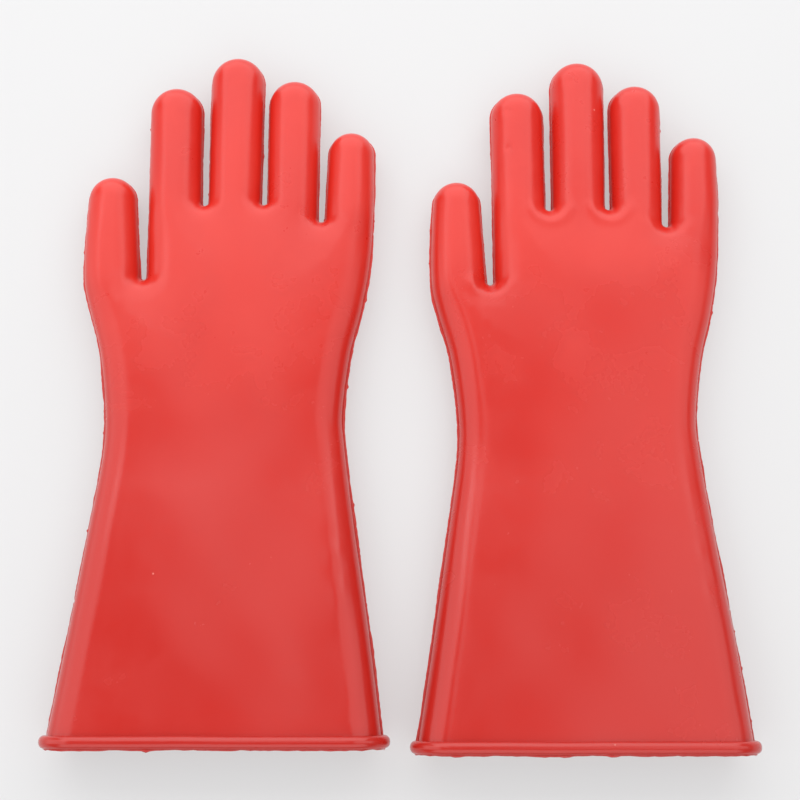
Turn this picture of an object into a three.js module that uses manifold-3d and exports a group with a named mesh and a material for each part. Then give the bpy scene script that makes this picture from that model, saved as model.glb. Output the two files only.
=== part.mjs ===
// A pair of long rubber insulating gloves, lying flat side by side with the fingers along +Y and
// the cuffs towards -Y. Both show the thumb on the -X side: the right-hand glove at -X lies palm
// down, and the left-hand glove at +X lies palm up.
//
// Each glove is moulded as a back shell and a palm shell that meet at a parting line half-way up,
// with a solid bead rolled round the cuff. The rubber bends at the wrist, at the knuckles and at
// the middle of each digit, so both shells are divided across there into short lengths.
// Millimetres, +Z up, origin on the ground below the middle of the pair.

import * as THREE from 'three';
import { mergeVertices } from 'three/addons/utils/BufferGeometryUtils.js';
import Module from 'manifold-3d';

// Shell
const THICKNESS = 28; // hand and fingers, from the palm face to the back face
const WALL = 2;
const SHOULDER = 12; // how far the rounded edge reaches in from the outline
const PARTING_BAND = 0.5; // upright strip at the parting line
const GAP = 0.3; // clearance between neighbouring pieces

// Cuff
const CUFF_THICKNESS = 36; // gauntlet where it meets the bead
const BEAD_FRONT = 0.6;
const BEAD_BACK = 8.5;
const BEAD_PROUD = 4.5; // how far the bead stands out from the gauntlet's surface
const BEAD_ROUND = 3.6;
const BEAD_CURVE_STEPS = 6;
const CUFF_HALF_WIDTH = 92.1;

// Lengths along the glove, measured from the cuff
const WRIST_START = 165; // the wrist bends back here
const WRIST_END = 215; // and bends forward here
const GAUNTLET_START = BEAD_BACK + GAP;
const OVERRUN = 30; // the shell is formed past the cuff, then cut

// Pair
const GLOVE_X = 102.3; // centre of each glove from the middle of the pair
const SET_BACK = 3; // the left glove lies this much nearer the viewer

// Digits, from the thumb to the little finger. x and half are the centre and half width of the
// round end, tip is its end, and knuckle and middle are where the digit bends.
const DIGITS = [
  { name: 'thumb', x: -68.7, half: 14.1, tip: 333, knuckle: 277, middle: 305 },
  { name: 'index', x: -32.0, half: 15.7, tip: 389.2, knuckle: 322, middle: 355 },
  { name: 'middle', x: 4.5, half: 16.0, tip: 408.5, knuckle: 322, middle: 366 },
  { name: 'ring', x: 38.9, half: 15.4, tip: 393.7, knuckle: 322, middle: 358 },
  { name: 'little', x: 73.2, half: 13.7, tip: 361, knuckle: 312, middle: 337 },
];

// Webs: the round bottom of the slot after each digit but the last, from which the slot widens a
// little towards the tips
const WEBS = [
  { x: -49.1, y: 270, radius: 2.3 },
  { x: -13.8, y: 315.5, radius: 2.0 },
  { x: 21.4, y: 316, radius: 1.9 },
  { x: 55.6, y: 305.5, radius: 2.2 },
];
const LONGEST = Math.max(...DIGITS.map((digit) => digit.tip));
const PAIR_MIDDLE_Y = (LONGEST + BEAD_FRONT - SET_BACK) / 2;

// Side curves of the palm, wrist and gauntlet, from the cuff up to the outer digits
const LITTLE_SIDE = [
  [93.2, 0], [86, 58], [76.3, 125], [70.2, 172], [69.2, 192],
  [73.4, 226], [80, 253], [84.9, 283], [87.1, 322],
];
const THUMB_SIDE = [
  [-93.6, 0], [-84.5, 58], [-74.7, 125], [-69, 166], [-68.6, 192],
  [-72.8, 226], [-79.3, 250], [-83.2, 266], [-84.1, 284], [-83.5, 308],
];
const SIDE_STEPS = 14;
const CURVE_STEPS = 4; // twice this many sides on each half circle
const OUTER_ROUNDS = 4;
const INNER_ROUNDS = 2;

// A space that holds one whole glove with room to spare on every side
const WIDE = 200;
const LOW = -50;
const HIGH = 100;
const FAR = LONGEST + 50;

const RED = 0xdc2f27;
const BEAD_RED = 0xd02c25;

const wasm = await Module();
wasm.setup();

function solid(geometry) {
  const bare = geometry.clone();
  bare.deleteAttribute('normal');
  bare.deleteAttribute('uv');
  const merged = mergeVertices(bare, 1e-4);
  return new wasm.Manifold(new wasm.Mesh({
    numProp: 3,
    vertProperties: new Float32Array(merged.attributes.position.array),
    triVerts: new Uint32Array(merged.index.array),
  }));
}

function geometryOf(body) {
  const mesh = body.getMesh();
  const geometry = new THREE.BufferGeometry();
  geometry.setAttribute('position', new THREE.BufferAttribute(mesh.vertProperties.slice(), 3));
  geometry.setIndex(new THREE.BufferAttribute(mesh.triVerts.slice(), 1));
  geometry.computeVertexNormals();
  return geometry;
}

function block(x0, x1, y0, y1, z0, z1) {
  const geometry = new THREE.BoxGeometry(x1 - x0, y1 - y0, z1 - z0);
  geometry.translate((x0 + x1) / 2, (y0 + y1) / 2, (z0 + z1) / 2);
  return solid(geometry);
}

function sideCurve(points) {
  return new THREE.SplineCurve(points.map(([x, y]) => new THREE.Vector2(x, y))).getPoints(SIDE_STEPS);
}

// The glove's outline, anticlockwise from the cuff on the little finger's side
function gloveOutline() {
  const outline = new THREE.Shape();
  const rising = sideCurve(LITTLE_SIDE);
  const falling = sideCurve(THUMB_SIDE).reverse();
  outline.moveTo(rising[0].x, -OVERRUN);
  for (const point of rising) outline.lineTo(point.x, point.y);
  for (let i = DIGITS.length - 1; i >= 0; i--) {
    const digit = DIGITS[i];
    outline.absarc(digit.x, digit.tip - digit.half, digit.half, 0, Math.PI, false);
    if (i > 0) {
      const web = WEBS[i - 1];
      outline.absarc(web.x, web.y + web.radius, web.radius, 0, Math.PI, true);
    }
  }
  for (const point of falling) outline.lineTo(point.x, point.y);
  outline.lineTo(falling.at(-1).x, -OVERRUN);
  return outline;
}

// The outline as a flat slab with elliptical edges, shrunk by inset on every side
function roundedSlab(outline, inset, rounds) {
  const round = THICKNESS / 2 - PARTING_BAND / 2 - inset;
  const geometry = new THREE.ExtrudeGeometry(outline, {
    depth: PARTING_BAND,
    bevelSize: SHOULDER - inset,
    bevelOffset: -SHOULDER,
    bevelThickness: round,
    bevelSegments: rounds,
    curveSegments: CURVE_STEPS,
  });
  geometry.translate(0, 0, THICKNESS / 2 - PARTING_BAND / 2);
  return solid(geometry);
}

// Both shells of one glove before they are divided, open at the cuff
function wholeShell() {
  const outline = gloveOutline();
  const outer = roundedSlab(outline, 0, OUTER_ROUNDS);
  const hollow = roundedSlab(outline, WALL, INNER_ROUNDS);
  const open = block(-WIDE, WIDE, -2 * OVERRUN, GAUNTLET_START, LOW, HIGH);
  return outer.subtract(hollow).subtract(open);
}

// The space each length of glove takes up, seen from above
function lengthZones() {
  const halfGap = GAP / 2;
  const overlap = 0.5; // neighbouring parts of the hand's zone, before they are joined
  const across = (y0, y1) => block(-WIDE, WIDE, y0, y1, LOW, HIGH);
  const zones = new Map();
  zones.set('gauntlet', across(GAUNTLET_START, WRIST_START - halfGap));
  zones.set('wrist', across(WRIST_START + halfGap, WRIST_END - halfGap));

  let hand = across(WRIST_END + halfGap, WEBS[0].y - SHOULDER);
  DIGITS.forEach((digit, i) => {
    const x0 = i === 0 ? -WIDE : WEBS[i - 1].x;
    const x1 = i === DIGITS.length - 1 ? WIDE : WEBS[i].x;
    const column = (y0, y1) => block(x0, x1, y0, y1, LOW, HIGH);
    hand = hand.add(block(x0 - overlap, x1 + overlap, WRIST_END + halfGap,
      digit.knuckle - halfGap, LOW, HIGH));
    zones.set(`${digit.name}_root`, column(digit.knuckle + halfGap, digit.middle - halfGap));
    zones.set(`${digit.name}_tip`, column(digit.middle + halfGap, FAR));
  });
  zones.set('hand', hand);
  return zones;
}

// The gauntlet grows thicker towards the cuff, and rises there to the height of the bead's inside
function swellGauntlet(geometry) {
  const position = geometry.attributes.position;
  const run = WRIST_START - GAP / 2 - GAUNTLET_START;
  for (let i = 0; i < position.count; i++) {
    const t = (WRIST_START - GAP / 2 - position.getY(i)) / run;
    const stretch = 1 + (CUFF_THICKNESS / THICKNESS - 1) * t;
    position.setZ(i, position.getZ(i) * stretch + BEAD_PROUD * t);
  }
  geometry.computeVertexNormals();
}

// A flat ring of the cuff's section: straight top and bottom, elliptical ends
function cuffSection(halfWidth, halfHeight, end) {
  const shape = new THREE.Shape();
  const straight = halfWidth - end;
  shape.moveTo(straight, -halfHeight);
  shape.absellipse(straight, 0, end, halfHeight, -Math.PI / 2, Math.PI / 2, false);
  shape.absellipse(-straight, 0, end, halfHeight, Math.PI / 2, 3 * Math.PI / 2, false);
  return shape;
}

function cuffBead() {
  const halfHeight = CUFF_THICKNESS / 2 + BEAD_PROUD;
  const length = BEAD_BACK - BEAD_FRONT;
  const roll = new THREE.ExtrudeGeometry(
    cuffSection(CUFF_HALF_WIDTH + BEAD_PROUD, halfHeight, SHOULDER + BEAD_PROUD), {
      depth: length - 2 * BEAD_ROUND,
      bevelSize: BEAD_ROUND,
      bevelOffset: -BEAD_ROUND,
      bevelThickness: BEAD_ROUND,
      bevelSegments: OUTER_ROUNDS,
      curveSegments: BEAD_CURVE_STEPS,
    });
  roll.translate(0, 0, BEAD_ROUND);
  const wall = WALL * CUFF_THICKNESS / THICKNESS;
  const mouth = new THREE.ExtrudeGeometry(
    cuffSection(CUFF_HALF_WIDTH - WALL, CUFF_THICKNESS / 2 - wall, SHOULDER - WALL), {
      depth: 3 * length,
      bevelEnabled: false,
      curveSegments: BEAD_CURVE_STEPS,
    });
  mouth.translate(0, 0, -length);
  const geometry = geometryOf(solid(roll).subtract(solid(mouth)));
  geometry.rotateX(-Math.PI / 2);
  geometry.translate(0, BEAD_FRONT, halfHeight);
  return geometry;
}

// The pieces of one glove, the same for both hands: its lower shell, its upper shell and its bead
function glovePieces() {
  const shell = wholeShell();
  const middle = THICKNESS / 2;
  const halves = {
    lower: shell.intersect(block(-WIDE, WIDE, 0, FAR, LOW, middle - GAP / 2)),
    upper: shell.intersect(block(-WIDE, WIDE, 0, FAR, middle + GAP / 2, HIGH)),
  };
  const pieces = [];
  for (const [length, zone] of lengthZones()) {
    for (const [half, body] of Object.entries(halves)) {
      const geometry = geometryOf(body.intersect(zone));
      if (length === 'gauntlet') swellGauntlet(geometry);
      pieces.push({ length, half, geometry });
    }
  }
  pieces.push({ length: 'cuff', half: 'bead', geometry: cuffBead() });
  return pieces;
}

const pieces = glovePieces();

function glove(hand, faces) {
  const group = new THREE.Group();
  for (const { length, half, geometry } of pieces) {
    const material = new THREE.MeshStandardMaterial({
      color: half === 'bead' ? BEAD_RED : RED,
      roughness: 0.42,
      metalness: 0,
    });
    const mesh = new THREE.Mesh(geometry, material);
    mesh.name = `${hand}_${length}_${faces[half] ?? half}`;
    group.add(mesh);
  }
  return group;
}

const pair = new THREE.Group();
const right = glove('right', { lower: 'palm', upper: 'back' });
right.position.set(-GLOVE_X, -PAIR_MIDDLE_Y, 0);
const left = glove('left', { lower: 'back', upper: 'palm' });
left.position.set(GLOVE_X, -PAIR_MIDDLE_Y - SET_BACK, 0);
pair.add(right, left);

export default pair;
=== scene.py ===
"""A pair of red moulded rubber insulating gloves, one palm down and one palm up, on a pale floor."""

import math

import bpy
import numpy as np
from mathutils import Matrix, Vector
from mathutils.geometry import delaunay_2d_cdt


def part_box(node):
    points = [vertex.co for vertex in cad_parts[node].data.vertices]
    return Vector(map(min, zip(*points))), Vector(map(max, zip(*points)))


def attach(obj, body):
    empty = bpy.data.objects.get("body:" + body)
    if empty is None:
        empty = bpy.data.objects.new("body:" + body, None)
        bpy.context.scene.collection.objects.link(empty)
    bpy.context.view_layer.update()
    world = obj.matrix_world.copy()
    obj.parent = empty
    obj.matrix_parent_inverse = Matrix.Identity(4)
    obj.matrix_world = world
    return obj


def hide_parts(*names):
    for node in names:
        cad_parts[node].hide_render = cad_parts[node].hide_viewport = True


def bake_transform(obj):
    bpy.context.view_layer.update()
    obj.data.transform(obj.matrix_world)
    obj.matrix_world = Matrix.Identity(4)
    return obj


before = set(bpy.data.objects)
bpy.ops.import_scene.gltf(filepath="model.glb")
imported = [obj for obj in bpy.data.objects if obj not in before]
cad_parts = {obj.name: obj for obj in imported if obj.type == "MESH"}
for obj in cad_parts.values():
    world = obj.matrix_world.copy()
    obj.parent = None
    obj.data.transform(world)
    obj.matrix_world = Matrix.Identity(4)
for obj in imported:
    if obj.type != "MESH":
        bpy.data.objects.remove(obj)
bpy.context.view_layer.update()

MM = 0.001

# ---------------------------------------------------------------------------------------------
# The rubber. One compound for the whole glove: natural rubber pressed in a polished steel mould,
# red right through. It has a satin skin with a faint grain, soft clouds of deeper and lighter red,
# slightly duller patches where it was handled, and a few specks of dust moulded in.
# ---------------------------------------------------------------------------------------------

RUBBER_RED = (0.62, 0.0240, 0.0140, 1)
RUBBER_DEEP = (0.57, 0.018, 0.0105, 1)
RUBBER_LIGHT = (0.66, 0.036, 0.023, 1)
# painted shade: the deeper red that the glove is painted towards the cuff, where less light falls
CUFF_PAINTED_SHADE = (0.44, 0.015, 0.010, 1)
SPECK_PINK = (0.86, 0.42, 0.36, 1)
CLOUD_SCALE = 9.0  # noise repeats per metre, from the broad clouds to the fine grain
PATCH_SCALE = 34.0
SPECK_SCALE = 95.0
SKIN_SCALE = 160.0
GRAIN_SCALE = 900.0
GRAIN_DEPTH = 0.00012  # metres
RUBBER_IOR = 1.5


class Wire:
    """A shader socket that can be added, subtracted and multiplied."""

    def __init__(self, maker, socket):
        self.maker = maker
        self.socket = socket

    def _math(self, operation, a, b):
        return self.maker.node("ShaderNodeMath", {"operation": operation}, {0: a, 1: b}).out(0)

    def __add__(self, other):
        return self._math("ADD", self, other)

    def __sub__(self, other):
        return self._math("SUBTRACT", self, other)

    def __rsub__(self, other):
        return self._math("SUBTRACT", other, self)

    def __mul__(self, other):
        return self._math("MULTIPLY", self, other)

    __radd__ = __add__
    __rmul__ = __mul__


class Made:
    """A node that has been made, and its output sockets."""

    def __init__(self, maker, node):
        self.maker = maker
        self.node = node

    def out(self, key):
        return Wire(self.maker, self.node.outputs[key])


class Finish:
    """A material or world in the making: its tree, and one way to add any node to it."""

    def __init__(self, owner):
        self.owner = owner
        owner.use_nodes = True
        self.tree = owner.node_tree
        self.tree.nodes.clear()

    def node(self, kind, settings=None, values=None):
        made = self.tree.nodes.new(kind)
        for key, value in (settings or {}).items():
            setattr(made, key, value)
        for key, value in (values or {}).items():
            if isinstance(value, Wire):
                self.tree.links.new(value.socket, made.inputs[key])
            else:
                made.inputs[key].default_value = value
        return Made(self, made)

    def noise(self, place, scale, detail=3.0, roughness=0.5, distortion=0.0):
        return self.node("ShaderNodeTexNoise", None, {
            "Vector": place, "Scale": scale, "Detail": detail,
            "Roughness": roughness, "Distortion": distortion}).out("Fac")

    def ramp(self, value, low, high, start=0.0, end=1.0):
        return self.node("ShaderNodeMapRange", {"interpolation_type": "SMOOTHSTEP"}, {
            "Value": value, "From Min": low, "From Max": high, "To Min": start, "To Max": end,
        }).out(0)

    def mix(self, share, first, second):
        return self.node("ShaderNodeMix", {"data_type": "RGBA"}, {
            0: share, 6: first, 7: second}).out(2)


def rubber(name, shade=1.0, dullness=0.0):
    """The glove rubber. A shade below 1 is a little deeper, and dullness adds to the roughness."""
    make = Finish(bpy.data.materials.new(name))
    place = make.node("ShaderNodeTexCoord").out("Object")
    clouds = make.noise(place, CLOUD_SCALE, 2.0, 0.5, 0.6)
    patches = make.noise(place, PATCH_SCALE, 3.0, 0.55, 0.3)
    grain = make.noise(place, GRAIN_SCALE, 2.0, 0.6)
    skin = make.noise(place, SKIN_SCALE, 3.0, 0.5)

    def tone(colour):
        return (colour[0] * shade, colour[1] * shade, colour[2] * shade, 1)

    red = make.mix(make.ramp(clouds, 0.38, 0.66), tone(RUBBER_DEEP), tone(RUBBER_RED))
    red = make.mix(make.ramp(patches, 0.45, 0.8, 0.0, 0.35), red, tone(RUBBER_LIGHT))
    along = make.node("ShaderNodeSeparateXYZ", None, {0: place}).out(1)
    # painted shade: the red is painted darker towards the cuff, standing in for light that falls off
    # there
    red = make.mix(make.ramp(along, -0.17, 0.19, 0.85, 0.0), red, tone(CUFF_PAINTED_SHADE))
    dust = make.node("ShaderNodeTexVoronoi", {"feature": "F1"}, {"Vector": place, "Scale": SPECK_SCALE})
    chosen = make.node("ShaderNodeSeparateColor", None, {0: dust.out("Color")}).out(0)
    speck = (make.ramp(dust.out("Distance"), 0.035, 0.06, 1.0, 0.0)
             * make.ramp(chosen, 0.975, 0.98))
    red = make.mix(speck * 0.55, red, SPECK_PINK)
    rough = (make.ramp(patches, 0.3, 0.75, 0.20, 0.26) + (skin - 0.5) * 0.05
             + make.ramp(along, -0.1, 0.15, 0.0, 0.07)
             + make.ramp(clouds, 0.35, 0.7, 0.0, 0.03) + dullness)
    relief = skin * 0.6 + grain * 0.25 + speck * 0.5
    bump = make.node("ShaderNodeBump", None, {
        "Strength": 0.22, "Distance": GRAIN_DEPTH, "Height": relief}).out(0)
    shader = make.node("ShaderNodeBsdfPrincipled", None, {
        "Base Color": red, "Roughness": rough, "Normal": bump, "IOR": RUBBER_IOR,
        "Specular IOR Level": 0.5})
    make.node("ShaderNodeOutputMaterial", None, {"Surface": shader.out(0)})
    return make.owner


# ---------------------------------------------------------------------------------------------
# The shells. Each glove is a back shell and a palm shell, pressed from sheet rubber about 2 mm
# thick and fused along the parting line at mid-height. The edges are rounded, the faces nearly
# flat, and the webs between the digits are soft saddles. The shells are cut into lengths at the
# wrist and along each digit; a length that lies between two bodies is not fastened to either.
# ---------------------------------------------------------------------------------------------

WALL = 2.0
FRONT_OF_BEAD = 0.6  # the bead's front edge, measured from the cuff's own zero
SHELL_END = 7.0  # the shells run this far into the bead
DIGIT = {  # centre line and half width of the round end, its tip, and where the digit bends
    "thumb": {"x": -68.7, "half": 14.1, "tip": 333, "knuckle": 277, "middle": 305},
    "index": {"x": -32.0, "half": 15.7, "tip": 389.2, "knuckle": 322, "middle": 355},
    "middle": {"x": 4.5, "half": 16.0, "tip": 408.5, "knuckle": 322, "middle": 366},
    "ring": {"x": 38.9, "half": 15.4, "tip": 393.7, "knuckle": 322, "middle": 358},
    "little": {"x": 73.2, "half": 13.7, "tip": 361, "knuckle": 312, "middle": 337},
}
DIGITS = tuple(DIGIT)
WEBS = ((-49.1, 270, 2.3), (-13.8, 315.5, 2.0), (21.4, 316, 1.9), (55.6, 305.5, 2.2))
LITTLE_SIDE = ((93.2, 0), (86, 58), (76.3, 125), (70.2, 172), (69.2, 192), (73.4, 226),
               (80, 253), (84.9, 283), (87.1, 322))
THUMB_SIDE = ((-93.6, 0), (-84.5, 58), (-74.7, 125), (-69, 166), (-68.6, 192), (-72.8, 226),
              (-79.3, 250), (-83.2, 266), (-84.1, 284), (-83.5, 308))
SIDE_SPACING = 2.4  # between points along the outline
TIP_SIDES = 26
WEB_SIDES = 14
CUFF_FLARE = 0.2  # the outline's ends stand out this much more inside the bead

ORIGIN = {}
for hand in ("right", "left"):
    low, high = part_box(f"{hand}_cuff_bead")
    ORIGIN[hand] = ((low.x + high.x) / 2 / MM, low.y / MM - FRONT_OF_BEAD)

WRIST_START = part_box("right_wrist_palm")[0].y / MM - ORIGIN["right"][1]
WRIST_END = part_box("right_wrist_palm")[1].y / MM - ORIGIN["right"][1]
HAND_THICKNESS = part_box("right_hand_back")[1].z / MM
CUFF_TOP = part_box("right_gauntlet_back")[1].z / MM
CUFF_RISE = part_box("right_cuff_bead")[1].z / MM - CUFF_TOP
CUFF_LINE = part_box("right_gauntlet_back")[0].y / MM - ORIGIN["right"][1]


def smooth(t):
    t = np.clip(t, 0, 1)
    return t * t * (3 - 2 * t)


def side_curve(points, spacing):
    """A smooth curve through points, with a point about every spacing."""
    p = np.array(points, float)
    p = np.vstack([2 * p[0] - p[1], p, 2 * p[-1] - p[-2]])
    found = [p[1]]
    for i in range(1, len(p) - 2):
        steps = max(2, int(np.linalg.norm(p[i + 1] - p[i]) / spacing))
        for k in range(1, steps + 1):
            t = k / steps
            found.append(0.5 * (2 * p[i] + (p[i + 1] - p[i - 1]) * t
                                + (2 * p[i - 1] - 5 * p[i] + 4 * p[i + 1] - p[i + 2]) * t ** 2
                                + (3 * p[i] - p[i - 1] - 3 * p[i + 1] + p[i + 2]) * t ** 3))
    return found


def arc(x, y, radius, start, end, sides):
    angles = np.linspace(math.radians(start), math.radians(end), sides + 1)
    return [np.array((x + radius * math.cos(a), y + radius * math.sin(a))) for a in angles]


def line(start, end, spacing):
    steps = max(1, round(float(np.linalg.norm(end - start)) / spacing))
    return [start + (end - start) * k / steps for k in range(1, steps)]


def glove_outline(spacing, tip_sides, web_sides):
    """The outline from the cuff on the little finger's side, over the digits, to the cuff."""
    points = [p for p in side_curve(LITTLE_SIDE, spacing) if p[1] > SHELL_END]
    points.insert(0, np.array((points[0][0] + CUFF_FLARE, SHELL_END)))
    for i in reversed(range(len(DIGITS))):
        digit = DIGIT[DIGITS[i]]
        round_end = arc(digit["x"], digit["tip"] - digit["half"], digit["half"], 0, 180, tip_sides)
        points += line(points[-1], round_end[0], spacing) + round_end
        if i > 0:
            x, y, radius = WEBS[i - 1]
            web = arc(x, y + radius, radius, 0, -180, web_sides)
            points += line(points[-1], web[0], spacing) + web
    falling = [p for p in reversed(side_curve(THUMB_SIDE, spacing)) if p[1] > SHELL_END]
    points += line(points[-1], falling[0], spacing) + falling
    points.append(np.array((points[-1][0] - CUFF_FLARE, SHELL_END)))
    return np.array(points)


def outward(points):
    """The outline's outward direction at each of its points."""
    before = np.vstack([points[0] - (0, 1), points[:-1]])
    after = np.vstack([points[1:], points[-1] - (0, 1)])
    before[0] = points[0] - (points[1] - points[0])
    after[-1] = points[-1] + (points[-1] - points[-2])
    along = after - before
    normal = np.column_stack([along[:, 1], -along[:, 0]])
    return normal / np.linalg.norm(normal, axis=1)[:, None]


OUTLINE = glove_outline(SIDE_SPACING, TIP_SIDES, WEB_SIDES)
BELOW_CUFF = 40.0  # the outline is carried on this far, so that the cuff's end isn't an edge
FENCE = np.vstack([(OUTLINE[0][0] + 5, -BELOW_CUFF), OUTLINE, (OUTLINE[-1][0] - 5, -BELOW_CUFF)])


def depth(p):
    """How far each point lies inside the outline."""
    best = np.full(len(p), 1e9)
    for a, b in zip(FENCE[:-1], FENCE[1:]):
        ab = b - a
        t = np.clip(((p - a) @ ab) / (ab @ ab), 0, 1)
        best = np.minimum(best, np.hypot(p[:, 0] - a[0] - t * ab[0], p[:, 1] - a[1] - t * ab[1]))
    return best


FINGER_SHOULDER = 12.4
PALM_SHOULDER = 17.0
THUMB_BASE = 246  # the edge grows tighter from here, on the thumb's side of the hand
FINGER_BASE = 290  # and from here on the fingers' side
THUMB_EDGE = -64  # the change from one to the other starts here, across the hand
EASING = 26  # each change is spread over this much


def shoulder(x, y):
    """How far the rounded edge reaches in: tight on the digits, broad on the palm and gauntlet."""
    begins = THUMB_BASE + (FINGER_BASE - THUMB_BASE) * smooth((x - THUMB_EDGE) / EASING)
    return PALM_SHOULDER + (FINGER_SHOULDER - PALM_SHOULDER) * smooth((y - begins) / EASING)


def swell(y):
    """0 at the hand, rising towards the cuff to 1, with no crease where the rise begins."""
    ease = 34.0
    u = WRIST_START + ease / 2 - y
    run = np.where(u < ease, np.clip(u, 0, None) ** 2 / (2 * ease), u - ease / 2)
    return run / (WRIST_START - CUFF_LINE)


def half_height(y):
    cuff = (CUFF_TOP - CUFF_RISE) / 2
    return HAND_THICKNESS / 2 + (cuff - HAND_THICKNESS / 2) * swell(y)


def parting_height(y):
    return half_height(y) + CUFF_RISE * swell(y)


ROUND_POWER = 2.15  # of the rounded edge: 2 is an ellipse, more is squarer
CROWN = 1.5  # the upper face is this much fuller in the middle
CROWN_REACH = 55.0
WEB_RIDGE = {"palm": 0.75, "back": 0.2}  # height of the soft ridge that runs round each web
THUMB_WEB = 1.25  # the thumb's web has a ridge this many times higher
WEB_RIDGE_OUT = 8.8  # from the edge of the slot to the top of the ridge
WEB_RIDGE_WIDTH = 3.3
RIPPLE = 0.16  # the gauntlet's edge on the little finger's side is faintly rippled
DENTS = {  # small dents in the fingertips of the upper face: x, y, radius and depth
    "left": ((-38, 374, 2.6, 0.5), (-38.5, 351, 2.2, 0.45), (-1, 393, 2.6, 0.4), (32, 381, 3, 0.4),
             (66, 351, 2.6, 0.3)),
    "right": ((-36, 379, 2.4, 0.15), (70, 352, 2.4, 0.2)),
}
WAVE_TURN = {"right": 0.0, "left": 2.1}  # so that the two gloves aren't alike


def unevenness(hand, x, y):
    """The slow waves of a soft face that has been laid down: under half a millimetre."""
    turn = WAVE_TURN[hand]
    return (0.30 * np.sin(x / 21 + turn) * np.sin(y / 33 + 0.7 + turn)
            + 0.20 * np.sin(x / 13 - y / 27 + 1.3 * turn)
            + 0.12 * np.sin(x / 9.5 + y / 14 + turn) * np.sin(y / 47))


def face_height(hand, face, top, x, y, d):
    """Height of a shell's outer face above the parting line. top is True on the upper shell."""
    reach = shoulder(x, y)
    inside = np.clip(d / reach, 0, 1)
    rise = (1 - (1 - inside) ** ROUND_POWER) ** (1 / ROUND_POWER)
    height = half_height(y) * rise
    for i, (slot_x, slot_y, radius) in enumerate(WEBS):
        away = np.hypot(x - slot_x, y - slot_y - radius)
        below = smooth((slot_y + radius + 3 - y) / 9)
        size = WEB_RIDGE[face] * (THUMB_WEB if i == 0 else 1.0)
        height += size * below * np.exp(-((away - radius - WEB_RIDGE_OUT) / WEB_RIDGE_WIDTH) ** 2)
    if top:
        height += CROWN * (1 - (1 - np.clip(d / CROWN_REACH, 0, 1)) ** 2)
        height += unevenness(hand, x, y) * smooth((d - 3) / 12)
        ripple = RIPPLE * np.sin(y / 5.3 + 2 * np.sin(y / 17)) * np.exp(-((d - 13) / 5) ** 2)
        height += ripple * smooth((150 - y) / 60) * smooth(x / 20)
        for dx, dy, radius, deep in DENTS[hand]:
            height -= deep * np.exp(-((x - dx) ** 2 + (y - dy) ** 2) / radius ** 2)
    return height


def lining_height(x, y, d):
    """Height of a shell's inner face above the parting line, one wall in from the outside."""
    reach = shoulder(x, y) - WALL
    inside = np.clip((d - WALL) / reach, 0, 1)
    return (half_height(y) - WALL) * (1 - (1 - inside) ** ROUND_POWER) ** (1 / ROUND_POWER)


def inside_fence(p, fence):
    hit = np.zeros(len(p), bool)
    for a, b in zip(fence, np.roll(fence, -1, axis=0)):
        crosses = (a[1] > p[:, 1]) != (b[1] > p[:, 1])
        rise = b[1] - a[1] if b[1] != a[1] else 1e-12
        hit ^= crosses & (p[:, 0] < (b[0] - a[0]) * (p[:, 1] - a[1]) / rise + a[0])
    return hit


def renumber(faces, count):
    """The points that faces use, out of count, and the faces renumbered for those alone."""
    used = np.unique(faces)
    place = np.full(count, -1)
    place[used] = np.arange(len(used))
    return used, place[faces]


RING_SLACK = 0.04  # a ring's point may lie this much nearer to the edge than the ring
RING_CLOSEST = 0.35  # spacing along the outermost ring, as a share of the grid's
RING_OPENING = 0.03  # and what each ring adds to that share
RING_TO_GRID = 1.6
ROW_STEP = 0.87  # rows of the grid are this share of its spacing apart, for even triangles
GRID_HALF_WIDTH = 95
GRID_END = 400


def face_net(border, start, spacing, rounds):
    """A net of triangles over the glove's plan inside border: rings along the edge, a grid inside."""
    rings = [start + (FINGER_SHOULDER - start) * (1 - math.cos(math.radians(90 * k / rounds)))
             for k in range(1, rounds + 1)]
    side = outward(OUTLINE)
    points = list(border)
    for k, ring in enumerate(rings):
        moved = OUTLINE - side * ring
        ok = depth(moved) > ring - RING_SLACK
        apart = spacing * (RING_CLOSEST + RING_OPENING * k)
        last = None
        for p in moved[ok & (moved[:, 1] > SHELL_END)]:
            if last is None or np.linalg.norm(p - last) > apart:
                points.append(p)
                last = p
    reach = rings[-1] + RING_TO_GRID
    xs = np.arange(-GRID_HALF_WIDTH, GRID_HALF_WIDTH, spacing)
    ys = np.arange(SHELL_END + 1, GRID_END, spacing * ROW_STEP)
    grid = np.array([(x + spacing / 2 * (j % 2), y) for j, y in enumerate(ys) for x in xs])
    points += list(grid[inside_fence(grid, FENCE) & (depth(grid) > reach)])
    count = len(border)
    edges = [(i, (i + 1) % count) for i in range(count)]
    plan, _, faces, _, _, _ = delaunay_2d_cdt(
        [Vector(p) for p in points], edges, [], 0, 1e-5)
    plan = np.array([tuple(p) for p in plan])
    faces = np.array([f for f in faces if len(f) == 3])
    middle = plan[faces].mean(axis=1)
    faces = faces[inside_fence(middle, border)]
    a, b, c = (plan[faces[:, i]] for i in range(3))
    area = (b[:, 0] - a[:, 0]) * (c[:, 1] - a[:, 1]) - (b[:, 1] - a[:, 1]) * (c[:, 0] - a[:, 0])
    faces[area < 0] = faces[area < 0][:, ::-1]
    used, faces = renumber(faces, len(plan))
    return plan[used], faces


FAR_OFF = 999  # past the glove on any side
WRIST_REACH = 27  # the wrist's two lengths reach this far beyond its bends
WRIST_BEND = WRIST_REACH - 3  # and the bend listed for each wrist length spans this much of that
STILL = 2.0  # left out of a listed bend beside the line between two lengths
ROOT_BEND = 13  # how far a root's listed bend reaches past a knuckle
TIP_BEND = 12  # and a tip's listed bend past the middle of a digit


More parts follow.
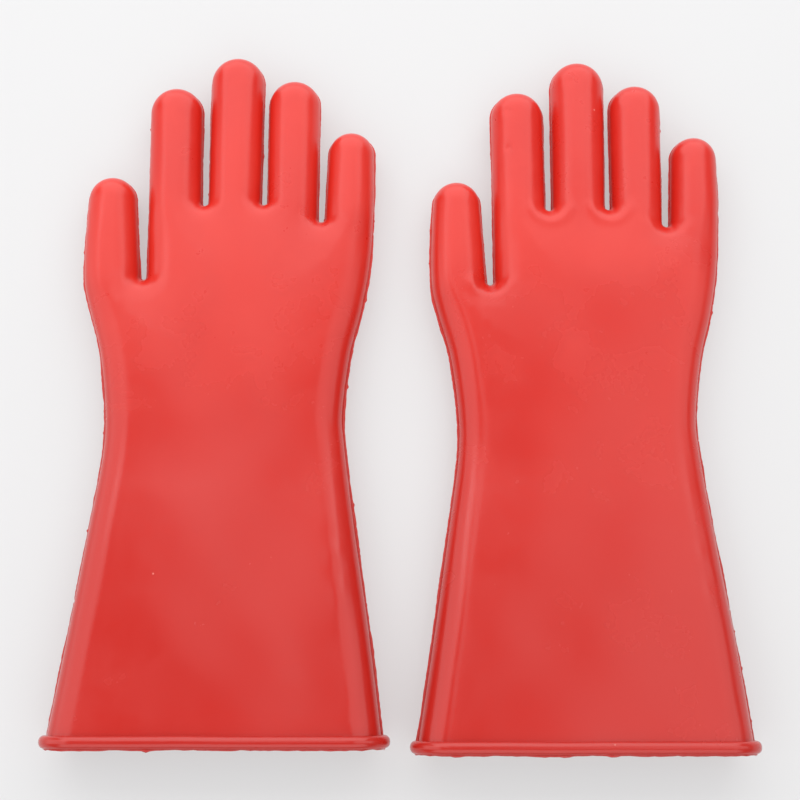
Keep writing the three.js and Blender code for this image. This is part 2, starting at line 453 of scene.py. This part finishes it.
def lengths():
    """The lengths a glove divides into: name, bodies it lies between, its plan and its bend."""
    found = [("gauntlet", ("gauntlet",), -FAR_OFF, FAR_OFF, -FAR_OFF, WRIST_START - WRIST_REACH,
              None)]
    between = (WRIST_START + WRIST_END) / 2
    found.append(("wrist_lower", ("gauntlet", "wrist"), -FAR_OFF, FAR_OFF,
                  WRIST_START - WRIST_REACH, between, (WRIST_START - WRIST_BEND, between - STILL)))
    found.append(("wrist_upper", ("wrist", "hand"), -FAR_OFF, FAR_OFF,
                  between, WRIST_END + WRIST_REACH, (between + STILL, WRIST_END + WRIST_BEND)))
    for i, name in enumerate(DIGITS):
        digit = DIGIT[name]
        webs = WEBS[max(i - 1, 0):i + 1]
        start = max(web[1] for web in webs) + 0.4
        x0 = WEBS[i - 1][0] if i > 0 else -FAR_OFF
        x1 = WEBS[i][0] if i < len(WEBS) else FAR_OFF
        split = (digit["knuckle"] + digit["middle"]) / 2
        found.append((f"{name}_root", ("hand", f"{name}_root"), x0, x1, start, split,
                      (start + 2.2, min(digit["knuckle"] + ROOT_BEND, split - STILL))))
        found.append((f"{name}_tip", (f"{name}_root", f"{name}_tip"), x0, x1, split, FAR_OFF,
                      (split + STILL, digit["middle"] + TIP_BEND)))
    found.append(("hand", ("hand",), -FAR_OFF, FAR_OFF, WRIST_END + WRIST_REACH, FAR_OFF, None))
    return found


LENGTHS = lengths()


def length_of(middle):
    """Which length each point of the plan is in: the first one that holds it."""
    which = np.full(len(middle), -1)
    for i, (_, _, x0, x1, y0, y1, _) in enumerate(LENGTHS):
        x, y = middle[:, 0], middle[:, 1]
        held = (which < 0) & (x >= x0) & (x < x1) & (y >= y0) & (y < y1)
        which[held] = i
    return which


def place_in_pair(hand, x, y, z):
    x0, y0 = ORIGIN[hand]
    return np.column_stack([x + x0, y + y0, z]) * MM


def make_piece(name, vertices, faces, normals, material):
    """A smooth mesh piece, with normals of its own where they are given."""
    used, faces = renumber(faces, len(vertices))
    mesh = bpy.data.meshes.new(name)
    mesh.from_pydata(vertices[used].tolist(), [], faces.tolist())
    mesh.polygons.foreach_set("use_smooth", [True] * len(mesh.polygons))
    if normals is not None:
        mesh.normals_split_custom_set_from_vertices(normals[used].tolist())
    mesh.materials.append(material)
    piece = bpy.data.objects.new(name, mesh)
    bpy.context.scene.collection.objects.link(piece)
    return piece


def fasten(piece, hand, length, nodes):
    """Makes a piece ride on its body; a piece between two bodies only has its transform baked in."""
    _, bodies, _, _, _, _, bend = length
    names = [f"{hand}_{body}" for body in bodies]
    if bend is None:
        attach(piece, names[0])
    else:
        y0 = ORIGIN[hand][1]
        start, end = ((0, (y + y0) * MM, 0) for y in bend)
        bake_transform(piece)
        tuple(start)
        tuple(end)
    if nodes:
        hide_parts(*nodes)


LINING_BORDER = OUTLINE - outward(OUTLINE) * WALL
LINING_BORDER[0, 1] = LINING_BORDER[-1, 1] = SHELL_END
SKIN_SPACING = 3.2
LINING_SPACING = 5.0
SKIN_RINGS = 11
LINING_RINGS = 6
SKIN = face_net(OUTLINE, 0.0, SKIN_SPACING, SKIN_RINGS)
LINING = face_net(LINING_BORDER, WALL, LINING_SPACING, LINING_RINGS)
SKIN_DEPTH = depth(SKIN[0])
LINING_DEPTH = depth(LINING[0])
SLOPE_STEP = 0.04  # slopes are taken over twice this
EDGE_LIFT = 0.05  # how little the skin looks up at its very edge


def skin_normals(hand, face, top, plan, d):
    """Which way the outer face looks, from its slope just inside each point."""
    slopes = []
    inner = plan.copy()
    edge = d < SLOPE_STEP * 2
    nearest = np.array([np.argmin(np.hypot(*(OUTLINE - p).T)) for p in plan[edge]], int)
    sides = outward(OUTLINE)
    if len(nearest):
        inner[edge] = plan[edge] - sides[nearest] * SLOPE_STEP * 3
    for shift in ((SLOPE_STEP, 0), (0, SLOPE_STEP)):
        ahead, behind = inner + shift, inner - shift
        rise = (face_height(hand, face, top, *ahead.T, depth(ahead))
                - face_height(hand, face, top, *behind.T, depth(behind)))
        slopes.append(rise / (2 * SLOPE_STEP))
    normal = np.column_stack([-slopes[0], -slopes[1], np.ones(len(plan))])
    if len(nearest):
        normal[edge, :2] = sides[nearest]
        normal[edge, 2] = EDGE_LIFT
    return normal / np.linalg.norm(normal, axis=1)[:, None]


def shell(hand, face, top):
    """One shell of a glove: its outer face and lining, and the length that each triangle is in."""
    way = 1 if top else -1
    x, y = SKIN[0].T
    mid = parting_height(y)
    height = face_height(hand, face, top, x, y, SKIN_DEPTH)
    outer = place_in_pair(hand, x, y, mid + way * height)
    outer_normals = skin_normals(hand, face, top, SKIN[0], SKIN_DEPTH)
    tilt = parting_height(y + 1) - mid
    outer_normals[:, 1] -= way * tilt * outer_normals[:, 2]
    outer_normals[:, 2] *= way
    lx, ly = LINING[0].T
    inner = place_in_pair(hand, lx, ly, parting_height(ly) + way * lining_height(lx, ly, LINING_DEPTH))
    faces = SKIN[1] if top else SKIN[1][:, ::-1]
    lining_faces = (LINING[1][:, ::-1] if top else LINING[1]) + len(outer)
    vertices = np.vstack([outer, inner])
    inner_normals = np.zeros_like(inner)
    corner = [inner[LINING[1][:, i]] for i in range(3)]
    across = np.cross(corner[1] - corner[0], corner[2] - corner[0])
    for i in range(3):
        np.add.at(inner_normals, LINING[1][:, i], across)
    inner_normals *= -way / np.maximum(np.linalg.norm(inner_normals, axis=1), 1e-12)[:, None]
    middles = np.vstack([SKIN[0][SKIN[1]].mean(axis=1), LINING[0][LINING[1]].mean(axis=1)])
    return (vertices, np.vstack([faces, lining_faces]),
            np.vstack([outer_normals, inner_normals]), length_of(middles))


FACES = {"right": {True: "back", False: "palm"}, "left": {True: "palm", False: "back"}}
shell_rubber = rubber("glove_rubber")
for hand in ("right", "left"):
    for top in (True, False):
        face = FACES[hand][top]
        vertices, faces, normals, which = shell(hand, face, top)
        for i, length in enumerate(LENGTHS):
            if not (which == i).any():
                continue
            name = f"{hand}_{length[0]}_{face}_shell"
            piece = make_piece(name, vertices, faces[which == i], normals, shell_rubber)
            node = {"wrist_lower": "wrist", "wrist_upper": "wrist"}.get(length[0], length[0])
            fasten(piece, hand, length, [f"{hand}_{node}_{face}"])


# ---------------------------------------------------------------------------------------------
# The flash. Rubber squeezed out between the two halves of the mould leaves a thin fin all round
# the parting line. It is trimmed by hand, so its edge is uneven, with small nicks and nibs.
# ---------------------------------------------------------------------------------------------

FLASH_SPACING = 0.8
FLASH_ROOT = 0.9  # how far the fin reaches into the shells
FLASH_THICK = 0.55
FLASH_SECTION = ((-FLASH_ROOT, 1.0), (0.25, 0.9), (1.0, 0.45), (1.0, -0.45), (0.25, -0.9),
                 (-FLASH_ROOT, -1.0))  # out from the outline, and up in half thicknesses
FLASH_WIDE = 1.1  # how far the fin stands out beside the palm and the gauntlet
DIGIT_TRIM = 0.45  # it is trimmed closer by this much beside the digits
SLOT_TRIM = 0.25  # by this much more in the slots
TIP_TRIM = 0.3  # and by this much more round the tips
FLASH_LEAST = 0.2
FLASH_MOST = 2.2
NICK_RARITY = 0.86  # nicks and nibs are where a random line passes this
FLASH_WAVE = 0.12  # the fin wanders up and down by this much


def run_along(path):
    """How far along the path each of its points is."""
    return np.concatenate([[0], np.cumsum(np.linalg.norm(np.diff(path, axis=0), axis=1))])


def wander(run, step, seed):
    """A smooth random line of values from -1 to 1, with a new value every step along run."""
    chance = np.random.default_rng(seed)
    knots = chance.uniform(-1, 1, int(run[-1] / step) + 3)
    t = run / step
    low = t.astype(int)
    return knots[low] + (knots[low + 1] - knots[low]) * smooth(t - low)


def flash_width(path, run, seed):
    """How far the fin stands out at each point of the outline: least in the slots and at the tips."""
    x, y = path.T
    width = FLASH_WIDE - DIGIT_TRIM * smooth((y - 255) / 60)
    for slot_x, slot_y, radius in WEBS:
        near = np.exp(-((x - slot_x) / (radius + 2.5)) ** 2) * smooth((y - slot_y + 4) / 6)
        width -= SLOT_TRIM * near
    for digit in DIGIT.values():
        over = np.abs(x - digit["x"]) < digit["half"] + 1
        width[over] -= TIP_TRIM * smooth((y[over] - digit["tip"] + 12) / 9)
    rough = 0.35 + 0.65 * width
    width += rough * (0.28 * wander(run, 23, seed) + 0.16 * wander(run, 6, seed + 1)
                      + 0.12 * wander(run, 1.7, seed + 2))
    nick = wander(run, 4.1, seed + 3)
    width += rough * (0.7 * smooth((nick - NICK_RARITY) / (1 - NICK_RARITY))
                      - 0.4 * smooth((-nick - NICK_RARITY) / (1 - NICK_RARITY)))
    return np.clip(width, FLASH_LEAST, FLASH_MOST)


def flash(hand, seed, material):
    """The fin round one glove, in the same lengths as its shells."""
    path = glove_outline(FLASH_SPACING, 2 * TIP_SIDES - 2, WEB_SIDES + 4)
    sides = outward(path)
    run = run_along(path)
    width = flash_width(path, run, seed)
    lift = FLASH_WAVE * wander(run, 9, seed + 4)
    rows = []
    for out, rise in FLASH_SECTION:
        reach = out if out < 0 else out * width
        p = path + sides * np.reshape(reach * np.ones(len(path)), (-1, 1))
        z = parting_height(p[:, 1]) + rise * FLASH_THICK / 2 + lift * max(out, 0)
        rows.append(place_in_pair(hand, p[:, 0], p[:, 1], z))
    vertices = np.vstack(rows)
    count = len(path)
    faces, middles = [], []
    for a in range(len(rows)):
        b = (a + 1) % len(rows)
        for i in range(count - 1):
            faces.append((a * count + i, b * count + i, b * count + i + 1, a * count + i + 1))
            middles.append((path[i] + path[i + 1]) / 2)
    faces = np.array(faces)
    which = length_of(np.array(middles))
    for i, length in enumerate(LENGTHS):
        if (which == i).any():
            piece = make_piece(f"{hand}_{length[0]}_flash", vertices, faces[which == i], None,
                               material)
            fasten(piece, hand, length, [])


flash_rubber = rubber("flash_rubber", 0.97, 0.04)
flash("right", 11, flash_rubber)
flash("left", 47, flash_rubber)


# ---------------------------------------------------------------------------------------------
# The cuff bead. A solid roll of the same rubber, moulded round the mouth of the gauntlet so that
# it can be pulled on and doesn't tear. Its front edge carries a thin trimmed lip of flash.
# ---------------------------------------------------------------------------------------------

BEAD_SIDES = 20
BEAD_SPACING = 2.5
CORNER_POINTS = 19
LOOP_RISE = 0.3  # the loop that the bead follows lies this much above the gauntlet's face
BEAD_CENTRE_OUT = 1.0
BEAD_CENTRE_Y = 4.9
BEAD_HALF_OUT = 3.5
BEAD_HALF_Y = 3.6
BEAD_POWER = 2.3
LIP_FRONT = 0.7
LIP_THICK = 0.6
LIP_OUT = 0.6  # the lip lies this much outside the bead's centre
LIP_ROOT = 2.5  # the lip springs from this far in front of the bead's centre
LIP_SECTION = ((1, 0), (0.7, 0.7), (0.25, 1), (-0.25, 1), (-0.7, 0.7), (-1, 0))


def cuff_loop(spacing):
    """The gauntlet's outer edge at the bead, as x and height above the parting line, outwards."""
    half_width = float(OUTLINE[0][0]) - CUFF_FLARE
    half = (CUFF_TOP - CUFF_RISE) / 2 + LOOP_RISE
    reach = PALM_SHOULDER
    straight = half_width - reach
    quarter = np.radians(np.linspace(0, 90, CORNER_POINTS))
    x = np.concatenate([straight + reach * np.cos(quarter),
                        np.linspace(straight, -straight, int(2 * straight / spacing))[1:-1],
                        -straight - reach * np.cos(quarter[::-1])])
    z = np.concatenate([half * np.sin(quarter), np.full(len(x) - 2 * CORNER_POINTS, half),
                        half * np.sin(quarter[::-1])])
    top = np.column_stack([x, z])
    under = np.column_stack([x[::-1], -z[::-1]])[1:-1]
    loop = np.vstack([top, under])
    along = np.roll(loop, -1, axis=0) - np.roll(loop, 1, axis=0)
    out = np.column_stack([along[:, 1], -along[:, 0]])
    return loop, out / np.linalg.norm(out, axis=1)[:, None]


def ring_piece(name, hand, section, material):
    """A closed ring: section gives, for each point of the loop, its outline as out and y."""
    loop, out = cuff_loop(BEAD_SPACING)
    mid = float(parting_height(np.array([CUFF_LINE]))[0])
    count = len(loop)
    rows = []
    for reach, y in section(loop):
        p = loop + out * np.reshape(reach, (-1, 1))
        rows.append(place_in_pair(hand, p[:, 0], y, mid + p[:, 1]))
    faces = []
    for a in range(len(rows)):
        b = (a + 1) % len(rows)
        for i in range(count):
            j = (i + 1) % count
            faces.append((a * count + i, a * count + j, b * count + j, b * count + i))
    piece = make_piece(name, np.vstack(rows), np.array(faces), None, material)
    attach(piece, f"{hand}_gauntlet")
    return piece


def bead_section(seed):
    """The roll: a full, slightly square round that is a little uneven along its length."""
    def section(loop):
        run = run_along(loop)
        plump = 1 + 0.03 * wander(run, 18, seed)
        shift = 0.15 * wander(run, 30, seed + 1)
        for k in range(BEAD_SIDES):
            a = 2 * math.pi * k / BEAD_SIDES
            c, s = math.cos(a), math.sin(a)
            size = (abs(c) ** BEAD_POWER + abs(s) ** BEAD_POWER) ** (-1 / BEAD_POWER)
            yield (BEAD_CENTRE_OUT + BEAD_HALF_OUT * c * size * plump,
                   BEAD_CENTRE_Y + BEAD_HALF_Y * s * size + shift)
    return section


def lip_section(seed):
    """The thin lip in front of the roll, with a ragged trimmed edge."""
    def section(loop):
        run = run_along(loop)
        ragged = 0.3 * wander(run, 14, seed) + 0.25 * wander(run, 3.1, seed + 1)
        nib = 0.7 * smooth((wander(run, 4.3, seed + 2) - 0.75) / 0.2)
        front = LIP_FRONT + ragged - nib
        middle = BEAD_CENTRE_OUT + LIP_OUT
        back = BEAD_CENTRE_Y - LIP_ROOT
        for out, share in LIP_SECTION:
            yield middle + out * LIP_THICK, back + (front - back) * share
    return section


bead_rubber = rubber("bead_rubber", 0.96, 0.0)
for hand, seed in (("right", 5), ("left", 83)):
    bead = ring_piece(f"{hand}_bead", hand, bead_section(seed), bead_rubber)
    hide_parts(f"{hand}_cuff_bead")
    ring_piece(f"{hand}_cuff_lip", hand, lip_section(seed + 7), flash_rubber)


# ---------------------------------------------------------------------------------------------
# The stage: a plain pale floor, soft studio light and the camera above the cuffs.
# ---------------------------------------------------------------------------------------------

FLOOR_WHITE = (0.285, 0.285, 0.287, 1)
FLOOR_GLOW = 0.45  # the floor is white acrylic, lit from below so that shadows stay faint
FLOOR_DROP = 0.0004  # it lies just under the flash
FLOOR_REACH = 6.0
floor_mesh = bpy.data.meshes.new("floor")
floor_mesh.from_pydata([(-FLOOR_REACH, -FLOOR_REACH, 0), (FLOOR_REACH, -FLOOR_REACH, 0),
                        (FLOOR_REACH, FLOOR_REACH, 0), (-FLOOR_REACH, FLOOR_REACH, 0)],
                       [], [(0, 1, 2, 3)])
floor = bpy.data.objects.new("floor", floor_mesh)
floor.location.z = -FLOOR_DROP
bpy.context.scene.collection.objects.link(floor)
paper = Finish(bpy.data.materials.new("floor_paper"))
paper_shader = paper.node("ShaderNodeBsdfPrincipled", None, {
    "Base Color": FLOOR_WHITE, "Roughness": 0.7, "Specular IOR Level": 0.3,
    "Emission Color": (1.0, 0.995, 1.0, 1), "Emission Strength": FLOOR_GLOW})
paper.node("ShaderNodeOutputMaterial", None, {"Surface": paper_shader.out(0)})
floor_mesh.materials.append(paper.owner)


def softbox(name, place, target, width, length, watts):
    """A rectangular area light at place that looks at target."""
    light = bpy.data.lights.new(name, "AREA")
    light.shape = "RECTANGLE"
    light.size = width
    light.size_y = length
    light.energy = watts
    lamp = bpy.data.objects.new(name, light)
    lamp.location = place
    lamp.rotation_euler = (Vector(target) - Vector(place)).to_track_quat("-Z", "Y").to_euler()
    bpy.context.scene.collection.objects.link(lamp)


softbox("back_softbox", (0.0, 1.13, 0.74), (0, 0.3, 0), 2.6, 1.9, 33)
softbox("left_softbox", (-1.18, 0.05, 0.70), (-0.1, 0, 0), 1.1, 1.7, 8.4)
softbox("top_softbox", (-0.20, 0.2, 1.25), (-0.11, 0.05, 0), 0.22, 0.6, 0.6)
softbox("right_softbox", (0.86, 0.0, 0.98), (0.1, 0, 0), 0.7, 1.6, 4.5)
softbox("front_softbox", (0.0, -1.5, 1.3), (0, -0.25, 0), 3.6, 1.8, 32)

world = bpy.data.worlds.new("studio")
studio = Finish(world)
sky = studio.node("ShaderNodeBackground", None, {"Color": (1.0, 1.0, 1.0, 1), "Strength": 0.20})
studio.node("ShaderNodeOutputWorld", None, {"Surface": sky.out(0)})
bpy.context.scene.world = world
bpy.context.scene.view_settings.view_transform = "Standard"

CAMERA_HEIGHT = 0.871
CAMERA_AHEAD = 0.032  # in front of the right cuff's zero, towards the fingers
CAMERA_TILT = 11.0
LENS = 67.5
camera_data = bpy.data.cameras.new("camera")
camera_data.lens = LENS
camera_data.sensor_width = 36.0
camera = bpy.data.objects.new("camera", camera_data)
camera.location = (0, ORIGIN["right"][1] * MM + CAMERA_AHEAD, CAMERA_HEIGHT)
camera.rotation_euler = (math.radians(CAMERA_TILT), 0, 0)
bpy.context.scene.collection.objects.link(camera)
bpy.context.scene.camera = camera
